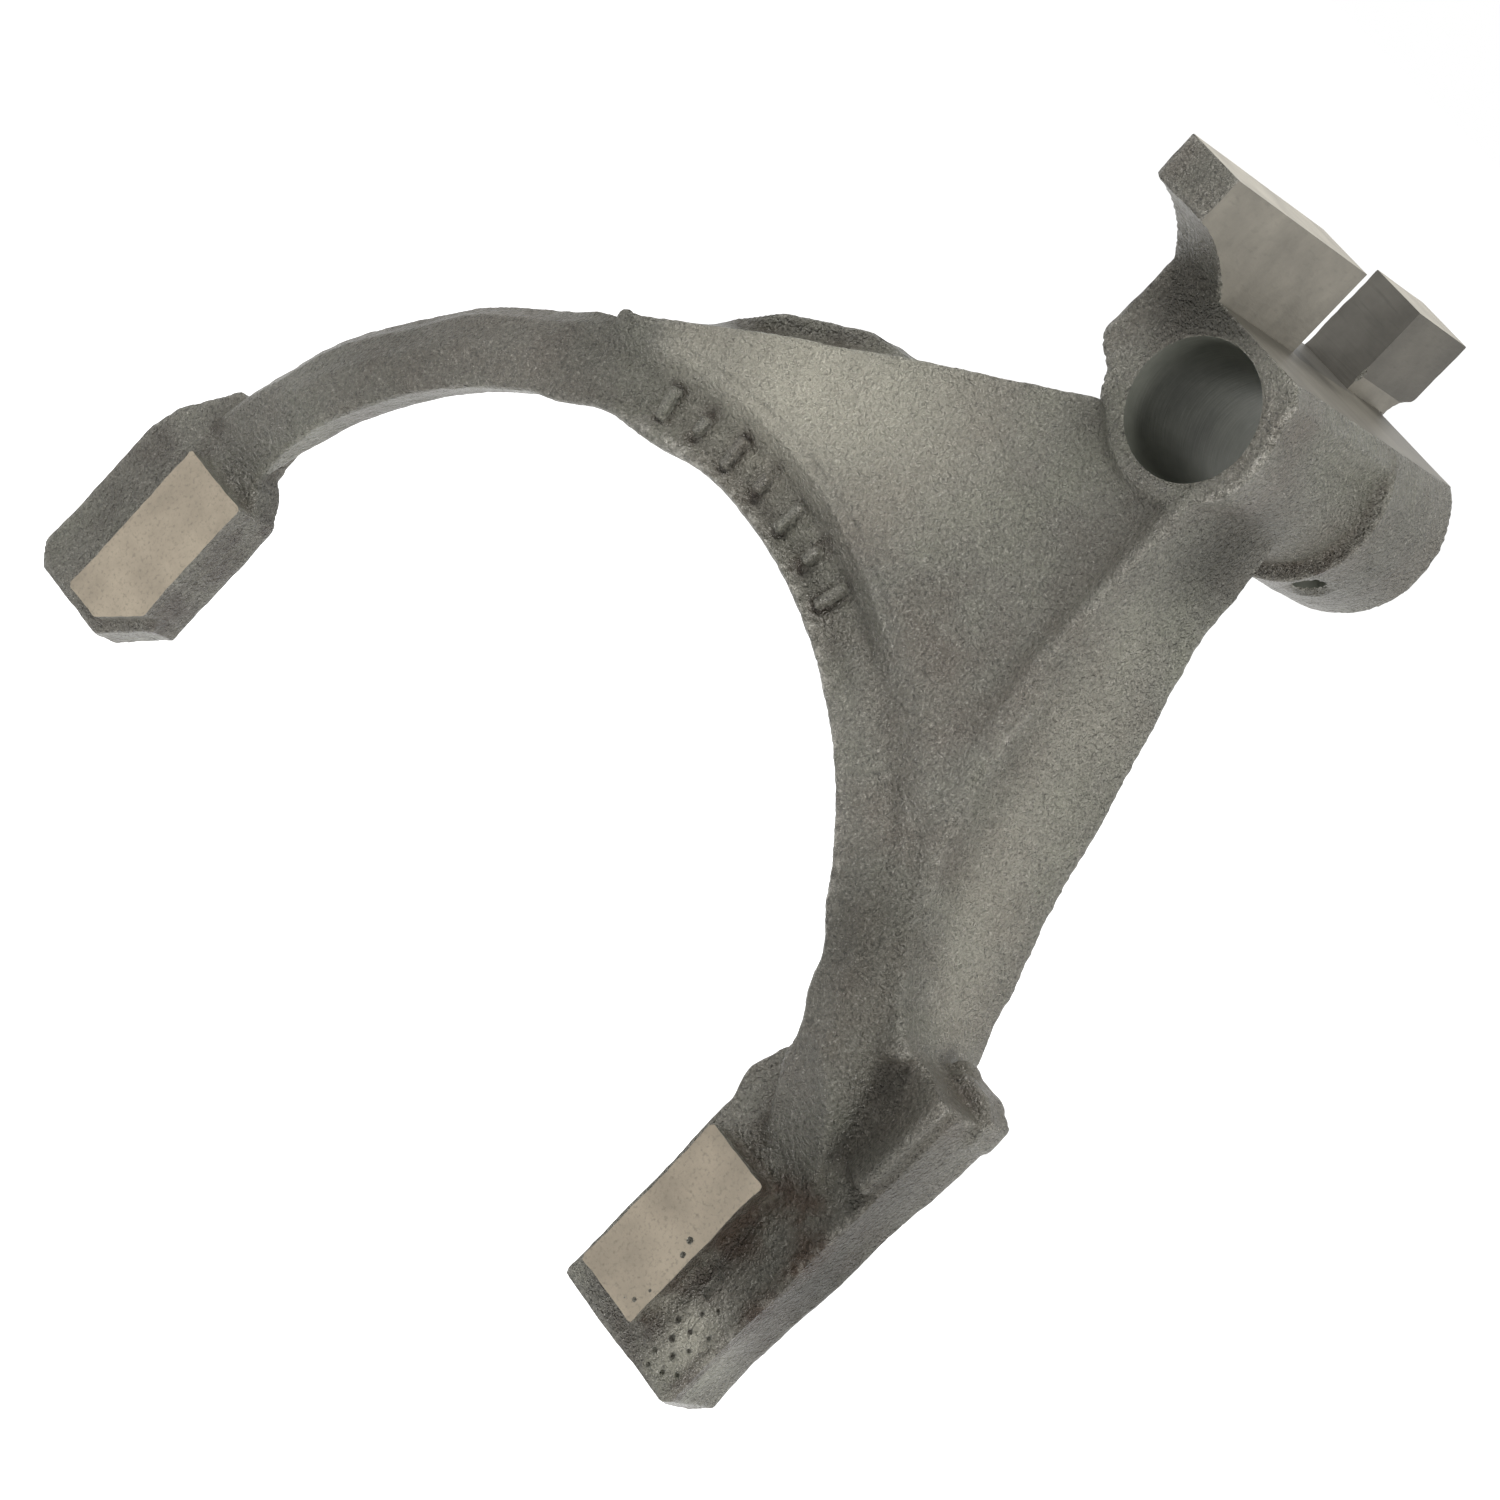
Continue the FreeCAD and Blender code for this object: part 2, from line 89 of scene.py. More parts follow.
# Small bulges and hollows of the rough casting: place, reach and shift.
SWELLS = (
    ((-103.6, -3.0, -81.0), 11.0, (-0.8, 0.0, 0.1)),
    ((-89.8, -3.0, -62.9), 12.0, (-0.5, 0.0, 0.5)),
    ((-73.2, -3.0, -49.7), 9.0, (-0.5, 0.0, 0.8)),
    ((-69.6, -3.0, -60.7), 7.0, (0.1, 0.0, -0.8)),
    ((-54.0, -3.0, -54.5), 10.0, (0.1, 0.0, -1.0)),
    ((16.4, -3.0, -81.0), 7.0, (1.0, 0.0, 0.4)),
    ((21.2, -3.0, -88.9), 7.0, (1.3, 0.0, 0.5)),
    ((19.7, 2.5, -99.2), 5.0, (-1.3, 0.0, 0.0)),
    ((44.4, 13.5, -88.0), 16.0, (0.7, 0.0, 0.0)),
    ((44.6, 13.5, -126.0), 16.0, (-0.8, 0.0, 0.0)),
    ((-118.2, 1.0, -131.3), 6.0, (-0.7, 0.0, -0.3)),
    ((-122.2, 8.0, -106.2), 5.0, (-1.0, 0.0, -0.3)),
    ((-14.6, -12.0, 16.4), 5.0, (-0.9, 0.0, 0.0)),
    ((-62.0, 17.0, -34.0), 8.0, (0.4, 0.0, -0.6)),
)
# Cast pores: place and radius.
PORES = (
    (31.4, -1.5, -118.3, 0.62),
    (32.1, -1.5, -120.2, 0.55),
    (31.2, -1.5, -116.4, 0.32),
    (31.6, -1.5, -129.0, 0.48),
    (30.4, -1.5, -129.9, 0.34),
    (32.3, -1.5, -126.6, 0.40),
    (29.6, -1.5, -127.5, 0.26),
    (36.2, 2.4, -127.2, 0.45),
    (37.4, 2.4, -129.4, 0.52),
    (38.6, 2.4, -126.9, 0.40),
    (39.2, 2.4, -130.8, 0.48),
    (36.8, 2.4, -132.2, 0.42),
    (40.4, 2.4, -128.6, 0.36),
    (38.0, 2.4, -124.2, 0.34),
    (41.6, 2.4, -131.8, 0.40),
    (39.8, 2.4, -133.2, 0.44),
    (37.6, 2.4, -134.0, 0.36),
    (41.2, 2.4, -125.4, 0.32),
    (39.4, 2.4, -122.2, 0.30),
    (-104.2, -1.5, -112.6, 0.30),
    (-100.8, -1.5, -124.8, 0.26),
)
# Where oil and rust have settled: place, reach and strength.
OILY = (
    ((37.5, 0.5, -104.5), 6.5, 1.0),
    ((35.8, 2.5, -113.0), 5.0, 0.8),
    ((35.6, 2.5, -122.0), 4.0, 0.7),
    ((26.0, 2.5, -102.5), 4.5, 0.7),
    ((45.0, 10.0, -104.0), 9.0, 0.6),
    ((45.0, 8.0, -120.0), 10.0, 0.5),
    ((38.0, 9.0, -137.0), 10.0, 0.6),
    ((-112.0, 1.0, -104.0), 5.0, 0.9),
    ((-119.0, 3.0, -112.0), 7.0, 0.6),
    ((-117.0, 3.0, -124.0), 7.0, 0.5),
    ((-94.0, 3.0, -108.0), 6.0, 0.7),
    ((44.0, 12.0, -84.0), 6.0, 0.6),
)
# Dark lines of oil and painted shadow along the pads' steps and the blocks' edges: from, to, reach and
# strength.
OIL_AND_SHADOW_LINES = (
    ((34.4, 0.8, -105.0), (34.4, 0.8, -131.5), 4.2, 1.0),
    ((24.0, 1.0, -105.8), (33.5, 1.0, -105.8), 2.6, 0.9),
    ((38.0, 1.5, -104.0), (43.8, 3.5, -110.0), 4.0, 0.8),
    ((43.8, 3.0, -106.0), (43.0, 3.0, -136.0), 3.0, 1.0),
    ((22.0, 1.0, -131.8), (43.0, 4.0, -137.0), 2.2, 0.7),
    ((-95.0, 4.0, -107.5), (-95.0, 4.0, -129.0), 9.0, 1.0),
    ((-111.5, 0.5, -106.0), (-111.5, 0.5, -132.0), 2.2, 0.7),
    ((9.9, 31.5, 9.0), (12.5, 31.0, -6.0), 2.2, 0.7),
    ((12.0, 31.0, -6.0), (2.0, 31.0, -13.2), 2.2, 0.6),
)
# Painted highlight lines along the flange's ridge: from, to, reach and strength.
RIDGE_HIGHLIGHTS = (
    ((11.0, 0.0, -16.0), (12.4, 0.0, -29.0), 1.9, 0.40),
    ((12.4, 0.0, -29.0), (13.6, 0.0, -46.0), 1.7, 0.30),
    ((13.6, 0.0, -46.0), (18.0, 0.0, -61.0), 1.6, 0.25),
    ((18.0, 0.0, -61.0), (28.0, 0.0, -77.0), 1.5, 0.20),
)
# Where the skin is painted paler (+) or darker (-): painted highlights on the upper web and on the flange's
# side, and painted shade with some darker dirt on the rear lug, round the hub and lug, and low on the arms
# and blocks: place, reach, strength.
PAINTED_LIGHT_AND_DIRT = (
    ((-47.0, -1.0, -36.0), 22.0, 0.80),
    ((-30.0, 0.0, -28.0), 26.0, 0.62),
    ((-60.0, -1.0, -43.5), 8.0, 0.40),
    ((-58.0, 18.0, -34.0), 13.0, -0.45),
    ((-66.0, 18.0, -40.0), 12.0, -0.60),
    ((11.0, 12.0, -40.0), 14.0, 0.40),
    ((14.0, 12.0, -55.0), 14.0, 0.45),
    ((18.0, 12.0, -68.0), 14.0, 0.60),
    ((10.0, 9.0, -26.0), 12.0, 0.25),
    ((25.0, 12.0, -78.0), 12.0, 0.55),
    ((-8.0, 1.0, -45.0), 13.0, -0.10),
    ((22.0, -2.0, -80.0), 18.0, -0.35),
    ((34.0, 2.0, -94.0), 20.0, -0.30),
    ((39.0, 2.5, -127.0), 10.0, 0.85),
    ((44.0, 9.0, -112.0), 27.0, -0.80),
    ((-95.0, -3.0, -75.0), 24.0, -0.25),
    ((-72.0, -3.0, -52.0), 14.0, -0.35),
    ((-112.0, 2.0, -118.0), 16.0, -0.10),
    ((-6.0, -1.0, 11.0), 14.0, -0.60),
    ((-16.0, -1.0, 8.0), 12.0, -0.50),
    ((-8.0, -1.0, -10.0), 9.0, -0.40),
    ((6.0, 14.0, -13.0), 18.0, -0.60),
    ((42.0, 4.0, -90.0), 16.0, -0.35),
    ((17.0, -3.0, -72.0), 14.0, -0.30),
    ((11.0, 40.0, -6.0), 20.0, -0.45),
    ((11.0, 12.0, -8.0), 16.0, -0.25),
    ((-13.0, -17.0, 22.0), 8.0, -0.20),
)
# The yoke's axis in X and Z.
YOKE = (-37.7, -116.4)
# The raised foundry marks on the band: the middle of them all, how many there are,
# the first one's angle in degrees, the step to the next, the radius of the ring
# through them, half the length of a long and a short one, half their width, their
# front, and the rounding of their edges.
MARKS = (-34.0, -3.0, -52.0)
MARK_COUNT = 7
MARK_FIRST = 73.6
MARK_STEP = 5.4
MARK_RING = 68.9
MARK_HALVES = (2.4, 1.3)
MARK_HALF_WIDTH = 0.75
MARK_TOP = -2.9
MARK_EDGE = 0.45
# The dark outline round each mark, oil and painted shade: its ends on the band, its front, reach and
# strength.
MARK_OUTLINE_ENDS = (66.4, 71.4)
MARK_OUTLINE_FRONT = -1.6
MARK_OUTLINE_REACH = 2.4
MARK_OIL_AND_SHADE = 0.9
# The painted highlight along the band's inner rim: radius, front, reach, strength and degrees.
RIM_RADIUS = 64.7
RIM_FRONT = -2.4
RIM_REACH = 2.0
RIM_HIGHLIGHT = 0.95
RIM_STEP = 6
RIM_TURNS = range(30, 106, RIM_STEP)
# Distances from the yoke's axis and the band's front there, plain and with marks.
PLAIN_RELIEF = ((64.5, 66.0, 69.0, 72.0, 75.5, 84.0), (-2.7, -3.0, -2.6, -1.7, -2.3, -2.2))
MARKED_RELIEF = ((64.5, 65.3, 66.3, 71.3, 74.6, 79.0, 84.0), (-3.1, -2.9, -1.7, -1.5, -3.3, -3.3, -2.6))
# A point on the web's upper edge, the way straight up from that edge in X and Z, how far the rear lug's
# front is set back above it, and how much painted shade darkens it.
WEB_EDGE = (-69.6, 0.0, -45.0)
WEB_UP = (-0.532, 0.846)
REAR_LUG_SINK = 4.5
REAR_LUG_SHADE = 0.35
# A point in the front of the hub, round which edges are rubbed most.
HUB = (0.0, 10.0, 5.0)
# The hole for the locking pin: its angle below the level, its place along the bore
# and its radius.
PIN_ANGLE = math.radians(41.0)
PIN_PLACE = 36.0
PIN_RADIUS = 2.15
# How the skin is worked, lengths in metres: the share of its curves put back
# after rounding, its growth, the bends that count as hollows, edges and creases,
# the passes that fill the hollows, and the spacing of lumps and sand grain.
CURVE_GAIN = 0.9
SKIN_GROWTH = 0.00012
HOLLOW_START = 0.00003
HOLLOW_RANGE = 0.00010
HOLLOW_PASSES = 12
RIM_EASE = 0.45
EDGE_START = 0.00020
EDGE_RANGE = 0.00024
CREASE_RANGE = 0.00030
LUMP_SPACING = 0.011
GRAIN_SPACING = 0.0019
# How dark or light these machined faces are beside the left pad and the lug's side: the right pad darker,
# the back of the lug's side darker as painted shade, and the lug's top lighter as a painted highlight.
RIGHT_PAD_SHADE = 0.84
BACK_SIDE_PAINTED_SHADE = 0.49
TOP_PAINTED_LIGHT = 2.3
# Machined faces that meet at more than this angle, in radians, keep a sharp edge.
SHARP_ANGLE = 0.6
# A casting that keeps its cuts has more faces than this.
LEAST_FACES = 50000
# The lamps and the floor, in metres.
KEY_PLACE = (-0.45, -0.55, 1.05)
KEY_SIZE = 0.4
SIDE_PLACE = (0.95, -0.15, 0.10)
SIDE_SIZE = 0.35
FLOOR_SIZE = 6.0
FLOOR_DROP = 0.09
# The camera's place in metres and the ways to the right, down and forward.
CAMERA_PLACE = (0.319887, -0.569240, 0.073637)
CAMERA_RIGHT = (0.55081553, 0.49372834, 0.67292985)
CAMERA_DOWN = (0.67394752, 0.21249848, -0.70755857)
CAMERA_FORWARD = (-0.49233829, 0.84325365, -0.21569953)


class ForkFinish(bpy.types.PropertyGroup):
    """Sizes of the cast skin and colours of its finishes."""

    grain: bpy.props.FloatProperty(
        name="Grain Height",
        description="Height of the sand grain on the cast skin",
        default=0.00010, min=0.0, max=0.001, subtype="DISTANCE", unit="LENGTH",
    )
    lumps: bpy.props.FloatProperty(
        name="Lump Height",
        description="Height of the broad unevenness of the cast skin",
        default=0.00022, min=0.0, max=0.002, subtype="DISTANCE", unit="LENGTH",
    )
    voxel: bpy.props.FloatProperty(
        name="Skin Voxel",
        description="Size of the cells that the cast skin is rebuilt from",
        default=0.00060, min=0.0003, max=0.003, subtype="DISTANCE", unit="LENGTH",
    )
    iron: bpy.props.FloatVectorProperty(
        name="Iron",
        description="Cast skin, the grey of bare oiled iron",
        default=(0.144, 0.138, 0.111), min=0.0, max=1.0, size=3, subtype="COLOR",
    )
    # Also the colour of the painted shade in creases and of the painted shadow lines by the pads and round
    # the marks.
    stain: bpy.props.FloatVectorProperty(
        name="Oil Stain",
        description="Dark brown oil and rust in the corners",
        default=(0.040, 0.027, 0.017), min=0.0, max=1.0, size=3, subtype="COLOR",
    )
    # Also the colour of the painted glints on the grain and of the painted highlight lines on the flange's
    # ridge and the band's rim.
    bright: bpy.props.FloatVectorProperty(
        name="Worn Edge",
        description="Worn and chipped edges where the skin has gone",
        default=(0.42, 0.40, 0.35), min=0.0, max=1.0, size=3, subtype="COLOR",
    )
    pad: bpy.props.FloatVectorProperty(
        name="Pad",
        description="Machined faces of the fork pads",
        default=(0.305, 0.262, 0.200), min=0.0, max=1.0, size=3, subtype="COLOR",
    )
    jaw: bpy.props.FloatVectorProperty(
        name="Jaw",
        description="Milled faces of the notch in the lug",
        default=(0.108, 0.102, 0.088), min=0.0, max=1.0, size=3, subtype="COLOR",
    )
    side: bpy.props.FloatVectorProperty(
        name="Lug Side",
        description="Machined outer side of the lug and the ledge beside it",
        default=(0.172, 0.159, 0.130), min=0.0, max=1.0, size=3, subtype="COLOR",
    )
    bore: bpy.props.FloatVectorProperty(
        name="Bore",
        description="Wall of the rail bore",
        default=(0.160, 0.165, 0.138), min=0.0, max=1.0, size=3, subtype="COLOR",
    )


class StageFinish(bpy.types.PropertyGroup):
    """The floor, the lights and the camera."""

    floor: bpy.props.FloatVectorProperty(
        name="Floor",
        description="Colour of the floor",
        default=(0.90, 0.90, 0.90), min=0.0, max=1.0, size=3, subtype="COLOR",
    )
    key: bpy.props.FloatProperty(
        name="Key Light", description="Power of the main soft lamp",
        default=15.0, min=0.0, unit="POWER",
    )
    side: bpy.props.FloatProperty(
        name="Side Light", description="Power of the lamp on the right side",
        default=9.0, min=0.0, unit="POWER",
    )
    world: bpy.props.FloatProperty(
        name="Sky", description="Even light from all round", default=0.24, min=0.0,
    )
    paper: bpy.props.FloatProperty(
        name="Paper White", description="Lift of the floor's white where it is seen",
        default=0.85, min=0.0,
    )
    lens: bpy.props.FloatProperty(
        name="Lens", description="Focal length of the camera in millimetres",
        default=125.6, min=10.0,
    )


# Materials.


def new_material(name):
    material = bpy.data.materials.new(name)
    material.use_nodes = True
    nodes = material.node_tree.nodes
    nodes.clear()
    output = nodes.new("ShaderNodeOutputMaterial")
    shader = nodes.new("ShaderNodeBsdfPrincipled")
    material.node_tree.links.new(shader.outputs["BSDF"], output.inputs["Surface"])
    return material, nodes, material.node_tree.links, shader


def grain(nodes, links, scale, detail=3.0, rough=0.6, stretch=(1.0, 1.0, 1.0)):
    """Noise in the fork's own coordinates, in metres."""
    place = nodes.new("ShaderNodeTexCoord")
    mapping = nodes.new("ShaderNodeMapping")
    mapping.inputs["Scale"].default_value = stretch
    links.new(place.outputs["Object"], mapping.inputs["Vector"])
    texture = nodes.new("ShaderNodeTexNoise")
    texture.inputs["Scale"].default_value = scale
    texture.inputs["Detail"].default_value = detail
    texture.inputs["Roughness"].default_value = rough
    links.new(mapping.outputs["Vector"], texture.inputs["Vector"])
    return texture.outputs["Fac"]


def times(colour, factor):
    return tuple(channel * factor for channel in colour)


def ramp(nodes, links, source, stops):
    node = nodes.new("ShaderNodeValToRGB")
    node.color_ramp.elements.remove(node.color_ramp.elements[1])
    for i, (place, colour) in enumerate(stops):
        stop = node.color_ramp.elements[0] if i == 0 else node.color_ramp.elements.new(place)
        stop.position = place
        stop.color = (*colour, 1.0)
    links.new(source, node.inputs["Fac"])
    return node.outputs["Color"]


def cloudy(nodes, links, cloud, colour, low, high):
    """A colour that drifts between a darker and a lighter shade of itself."""
    return ramp(nodes, links, cloud, [(0.3, times(colour, low)), (0.7, times(colour, high))])


def blend_colours(nodes, links, amount, first, second):
    node = nodes.new("ShaderNodeMix")
    node.data_type = "RGBA"
    links.new(amount, node.inputs["Factor"])
    for socket, value in ((node.inputs[6], first), (node.inputs[7], second)):
        if isinstance(value, tuple):
            socket.default_value = (*value, 1.0)
        else:
            links.new(value, socket)
    return node.outputs[2]


def spread(nodes, links, source, low, high, to_low=0.0, to_high=1.0):
    node = nodes.new("ShaderNodeMapRange")
    node.inputs["From Min"].default_value = low
    node.inputs["From Max"].default_value = high
    node.inputs["To Min"].default_value = to_low
    node.inputs["To Max"].default_value = to_high
    links.new(source, node.inputs["Value"])
    return node.outputs["Result"]


def combine(nodes, links, kind, first, second):
    node = nodes.new("ShaderNodeMath")
    node.operation = kind
    node.use_clamp = True
    for socket, value in zip(node.inputs, (first, second)):
        if isinstance(value, float):
            socket.default_value = value
        else:
            links.new(value, socket)
    return node.outputs["Value"]


def bump(nodes, links, height, distance, strength=1.0, under=None):
    node = nodes.new("ShaderNodeBump")
    node.inputs["Distance"].default_value = distance
    node.inputs["Strength"].default_value = strength
    links.new(height, node.inputs["Height"])
    if under is not None:
        links.new(under, node.inputs["Normal"])
    return node.outputs["Normal"]


def painted(nodes, name):
    """A value that was worked out for each point of the skin."""
    node = nodes.new("ShaderNodeAttribute")
    node.attribute_name = name
    return node.outputs["Fac"]


def seen_rays(nodes, links):
    """1 for rays from the camera and for reflected and refracted ones."""
    rays = nodes.new("ShaderNodeLightPath")
    seen = combine(nodes, links, "ADD", rays.outputs["Is Camera Ray"], rays.outputs["Is Glossy Ray"])
    return combine(nodes, links, "ADD", seen, rays.outputs["Is Transmission Ray"])


def cast_skin(finish):
    """Rough sand-cast iron with oil and painted shade in the corners, worn edges, painted glints, and
    painted highlights and shade.
    """
    material, nodes, links, shader = new_material("cast_skin")
    iron = tuple(finish.iron)
    dark = (iron[0] * 0.84, iron[1] * 0.76, iron[2] * 0.74)
    light = (iron[0] * 1.18, iron[1] * 1.24, iron[2] * 1.16)
    patches = grain(nodes, links, 55.0, 4.0, 0.6)
    colour = ramp(nodes, links, patches, [(0.30, dark), (0.52, iron), (0.74, light)])
    # Painted glints: bright specks of the worn-edge colour on the grain.
    speck = grain(nodes, links, 2300.0, 2.0, 0.6)
    glint = spread(nodes, links, speck, 0.58, 0.74)
    colour = blend_colours(nodes, links, combine(nodes, links, "MULTIPLY", glint, 0.55),
                           colour, tuple(finish.bright))
    pit = spread(nodes, links, speck, 0.45, 0.30)
    colour = blend_colours(nodes, links, combine(nodes, links, "MULTIPLY", pit, 0.75),
                           colour, times(iron, 0.35))
    # Painted highlights lighten the skin; painted shade, with some darker dirt, darkens it.
    colour = blend_colours(nodes, links, painted(nodes, "highlight_and_pale"), colour, times(iron, 2.6))
    colour = blend_colours(nodes, links, painted(nodes, "shade_and_dirt"), colour, times(iron, 0.2))
    # Creases and hollows darken with oil and painted shade.
    smear = grain(nodes, links, 160.0, 4.0, 0.65)
    crease_shade_and_oil = combine(nodes, links, "MULTIPLY", painted(nodes, "corner"),
                      spread(nodes, links, smear, 0.30, 0.62, 0.15, 0.6))
    # Oil stains, and painted shadow lines by the pads' steps and round the marks, darken the skin too.
    pooled_oil_and_shadow = combine(nodes, links, "MULTIPLY", painted(nodes, "oil"),
                     spread(nodes, links, smear, 0.38, 0.58, 0.25, 1.0))
    oil_and_shade = combine(nodes, links, "ADD", crease_shade_and_oil, pooled_oil_and_shadow)
    colour = blend_colours(nodes, links, oil_and_shade, colour, tuple(finish.stain))
    # Worn, chipped edges, and the painted highlight lines on the ridge and the band's rim, take the
    # worn-edge colour.
    chipped = spread(nodes, links, grain(nodes, links, 700.0, 4.0, 0.75), 0.47, 0.60)
    edge = combine(nodes, links, "ADD", painted(nodes, "edge"), painted(nodes, "ridge_and_rim_highlight"))
    worn = combine(nodes, links, "MULTIPLY", combine(nodes, links, "MULTIPLY", edge, chipped), 0.8)
    colour = blend_colours(nodes, links, worn, colour, tuple(finish.bright))
    links.new(colour, shader.inputs["Base Color"])
    shader.inputs["Metallic"].default_value = 0.22
    gloss = spread(nodes, links, painted(nodes, "shade_and_dirt"), 0.0, 0.8, 0.60, 0.15)
    links.new(gloss, shader.inputs["Specular IOR Level"])
    links.new(spread(nodes, links, oil_and_shade, 0.0, 1.0, 0.33, 0.18), shader.inputs["Roughness"])
    fine = grain(nodes, links, 3200.0, 2.0, 0.6)
    coarse = grain(nodes, links, 1500.0, 2.0, 0.5)
    lower = bump(nodes, links, coarse, 0.00110)
    links.new(bump(nodes, links, fine, 0.00060, under=lower), shader.inputs["Normal"])
    return material


def machined_pad(name, tan):
    """Ground pad faces, tan, with a few pores."""
    material, nodes, links, shader = new_material(name)
    colour = cloudy(nodes, links, grain(nodes, links, 110.0, 5.0, 0.65), tan, 0.74, 1.16)
    speck = grain(nodes, links, 1700.0, 3.0, 0.65)
    colour = blend_colours(nodes, links, spread(nodes, links, speck, 0.52, 0.72, 0.0, 0.7), colour,
                           times(tan, 0.5))
    links.new(colour, shader.inputs["Base Color"])
    shader.inputs["Metallic"].default_value = 0.55
    shader.inputs["Roughness"].default_value = 0.50
    lines = grain(nodes, links, 700.0, 2.0, 0.5, (0.25, 1.0, 3.0))
    lower = bump(nodes, links, lines, 0.00005, 0.5)
    links.new(bump(nodes, links, speck, 0.00005, 0.6, lower), shader.inputs["Normal"])
    return material


def machined_jaw(name, grey):
    """Milled faces of the lug, with lines across the notch."""
    material, nodes, links, shader = new_material(name)
    colour = cloudy(nodes, links, grain(nodes, links, 120.0, 4.0, 0.65), grey, 0.78, 1.2)
    lines = grain(nodes, links, 900.0, 3.0, 0.6, (0.12, 0.5, 1.6))
    colour = blend_colours(nodes, links, spread(nodes, links, lines, 0.55, 0.75, 0.0, 0.4), colour,
                           times(grey, 0.55))
    links.new(colour, shader.inputs["Base Color"])
    shader.inputs["Metallic"].default_value = 0.55
    shader.inputs["Roughness"].default_value = 0.46
    links.new(bump(nodes, links, lines, 0.00008, 0.6), shader.inputs["Normal"])
    return material


def bored_wall(finish):
    """The reamed wall of the bore, dark with oil."""
    material, nodes, links, shader = new_material("bored_wall")
    colour = cloudy(nodes, links, grain(nodes, links, 140.0, 4.0, 0.6), finish.bore, 0.75, 1.25)
    links.new(colour, shader.inputs["Base Color"])
    shader.inputs["Metallic"].default_value = 0.6
    shader.inputs["Roughness"].default_value = 0.42
    rings = grain(nodes, links, 900.0, 2.0, 0.5, (0.3, 2.5, 0.3))
    links.new(bump(nodes, links, rings, 0.00006, 0.5), shader.inputs["Normal"])
    return material


# The fork's mesh.


def link(thing):
    bpy.context.scene.collection.objects.link(thing)
    return thing


def apply_modifiers(thing):
    """Turns what the modifiers show into the object's own mesh."""
    graph = bpy.context.evaluated_depsgraph_get()
    made = bpy.data.meshes.new_from_object(thing.evaluated_get(graph))
    old = thing.data
    thing.modifiers.clear()
    thing.data = made
    bpy.data.meshes.remove(old)


def prism(name, outline, low, high, axis):
    """A closed block: an outline in millimetres pulled along an axis. The
    outline lies in the other two axes, in X, Y, Z order."""
    made = bmesh.new()
    rows = []
    for level in (low, high):
        row = []
        for a, b in outline:
            place = {"x": (level, a, b), "y": (a, level, b), "z": (a, b, level)}[axis]
            row.append(made.verts.new(Vector(place) * MM))
        rows.append(row)
    made.faces.new(rows[0])
    made.faces.new(rows[1])
    count = len(outline)
    for i in range(count):
        j = (i + 1) % count
        made.faces.new((rows[0][i], rows[0][j], rows[1][j], rows[1][i]))
    bmesh.ops.recalc_face_normals(made, faces=made.faces)
    mesh = bpy.data.meshes.new(name)
    made.to_mesh(mesh)
    made.free()
    return link(bpy.data.objects.new(name, mesh))


def rod(name, start, end, radius, sides=96):
    """A closed round bar between two points, in millimetres."""
    made = bmesh.new()
    bmesh.ops.create_cone(made, cap_ends=True, segments=sides, radius1=radius * MM,
                          radius2=radius * MM, depth=(Vector(end) - Vector(start)).length * MM)
    along = (Vector(end) - Vector(start)).normalized()
    turn = along.to_track_quat("Z", "Y").to_matrix().to_4x4()
    move = Matrix.Translation((Vector(start) + Vector(end)) * 0.5 * MM)
    bmesh.ops.transform(made, matrix=move @ turn, verts=made.verts)
    mesh = bpy.data.meshes.new(name)
    made.to_mesh(mesh)
    made.free()
    return link(bpy.data.objects.new(name, mesh))


def balls(name, spots):
    """Closed balls, each at a place and with a radius in millimetres."""
    made = bmesh.new()
    for x, y, z, radius in spots:
        bmesh.ops.create_icosphere(made, subdivisions=2, radius=radius * MM,
                                   matrix=Matrix.Translation(Vector((x, y, z)) * MM))
    mesh = bpy.data.meshes.new(name)
    made.to_mesh(mesh)
    made.free()
    return link(bpy.data.objects.new(name, mesh))


def join_or_cut(thing, tool, kind):
    modifier = thing.modifiers.new(kind.title(), "BOOLEAN")
    modifier.operation = kind
    modifier.solver = "EXACT"
    modifier.object = tool
    modifier.material_mode = "TRANSFER"
    apply_modifiers(thing)
    bpy.data.objects.remove(tool)


def box_outline(a0, a1, b0, b1):
    return ((a0, b0), (a1, b0), (a1, b1), (a0, b1))


def skin_noise(places, spacing, seed):
    """Smooth noise at each place, about -1 to 1, for a spacing in metres."""
    shift = Vector((seed * 17.3, seed * 5.9, seed * 11.1))
    values = np.empty(len(places))
    for i, place in enumerate(places):
        values[i] = noise.fractal(Vector(place) / spacing + shift, 1.0, 2.0, 2)
    return values


def points_of(mesh):
    places = np.empty(len(mesh.vertices) * 3)
    mesh.vertices.foreach_get("co", places)
    return places.reshape(-1, 3)


def normals_of(mesh):
    ups = np.empty(len(mesh.vertices) * 3)
    mesh.vertices.foreach_get("normal", ups)
    return ups.reshape(-1, 3)


def move_points(mesh, places):
    mesh.vertices.foreach_set("co", places.ravel())
    mesh.update()


def smooth_values(mesh, values, rounds):
    """Spreads a value over its neighbours along the mesh's edges."""
    count = len(mesh.vertices)
    pairs = np.empty(len(mesh.edges) * 2, dtype=np.int64)
    mesh.edges.foreach_get("vertices", pairs)
    pairs = pairs.reshape(-1, 2)
    near = np.bincount(pairs.ravel(), minlength=count).clip(1)
    for _ in range(rounds):
        total = np.bincount(pairs[:, 0], weights=values[pairs[:, 1]], minlength=count)
        total += np.bincount(pairs[:, 1], weights=values[pairs[:, 0]], minlength=count)
        values = 0.4 * values + 0.6 * total / near
    return values


def smooth_vectors(mesh, vectors, rounds):
    return np.stack([smooth_values(mesh, vectors[:, k], rounds) for k in range(3)], axis=1)


